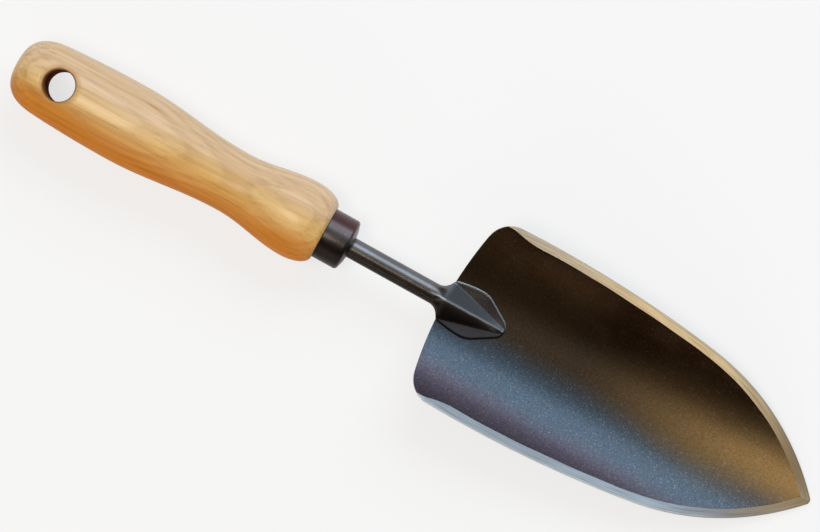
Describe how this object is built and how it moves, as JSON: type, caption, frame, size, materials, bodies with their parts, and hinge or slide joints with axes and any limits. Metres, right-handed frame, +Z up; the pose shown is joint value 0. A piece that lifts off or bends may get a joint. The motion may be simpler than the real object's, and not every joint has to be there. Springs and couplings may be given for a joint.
{
  "type": "hand trowel",
  "caption": "Hand trowel with a dished, pointed steel blade on a forged shank, a steel ferrule and a turned wooden handle with a hanging hole.",
  "frame": {"origin": "middle of the whole length and width, on the surface that the trowel rests on", "axes": "+X from the handle's butt to the blade's tip, +Z up out of the open side of the dish, +Y to the left"},
  "size_m": [0.34, 0.0746, 0.031],
  "materials": {
    "turned_wood": "turned ash under clear gloss lacquer",
    "bronzed_steel": "forged and drawn steel, dark bronze-brown, clear lacquered",
    "bronzed_sheet": "pressed sheet steel, dark bronze-brown with a fine speckle, bright ground edges",
    "cured_resin": "cured adhesive, hidden inside the handle"
  },
  "bodies": {
    "root": {"handle": "turned_wood", "ferrule": "bronzed_steel", "shank": "bronzed_steel", "tang_resin": "cured_resin", "blade": "bronzed_sheet", "leaf_weld": "bronzed_steel"}
  },
  "joints": []
}
